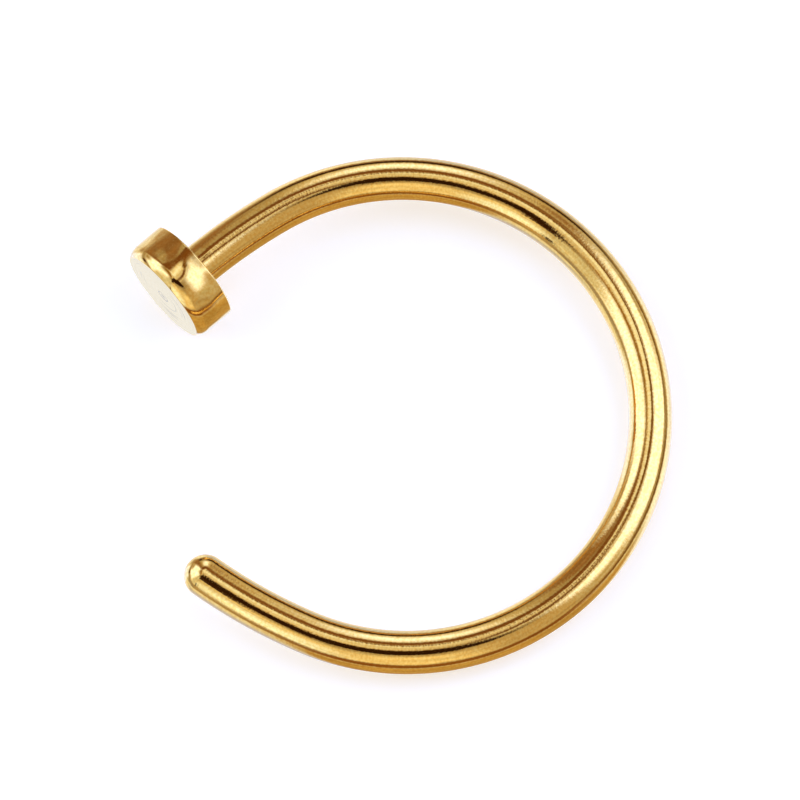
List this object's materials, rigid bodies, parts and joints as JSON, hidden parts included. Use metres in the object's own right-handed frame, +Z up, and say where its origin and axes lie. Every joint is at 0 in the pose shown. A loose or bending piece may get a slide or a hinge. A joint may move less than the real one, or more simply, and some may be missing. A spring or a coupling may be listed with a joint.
{
  "type": "nose ring",
  "caption": "Open nose hoop of round wire with a domed tip at one end and a flat disc soldered square across the other.",
  "frame": {"origin": "bottom centre of the bounding box, with the hoop lying on its side as it comes to rest", "axes": "+Z up, across the flat of the hoop; the mouth between the two ends opens towards -X; the disc's end is on the +Y side of the mouth and the domed tip on its -Y side"},
  "size_m": [0.01, 0.0098, 0.002],
  "materials": {
    "polished_gold": "mirror polished gold-coloured coating on steel"
  },
  "bodies": {
    "root": {"nose_hoop": "polished_gold"}
  },
  "joints": []
}
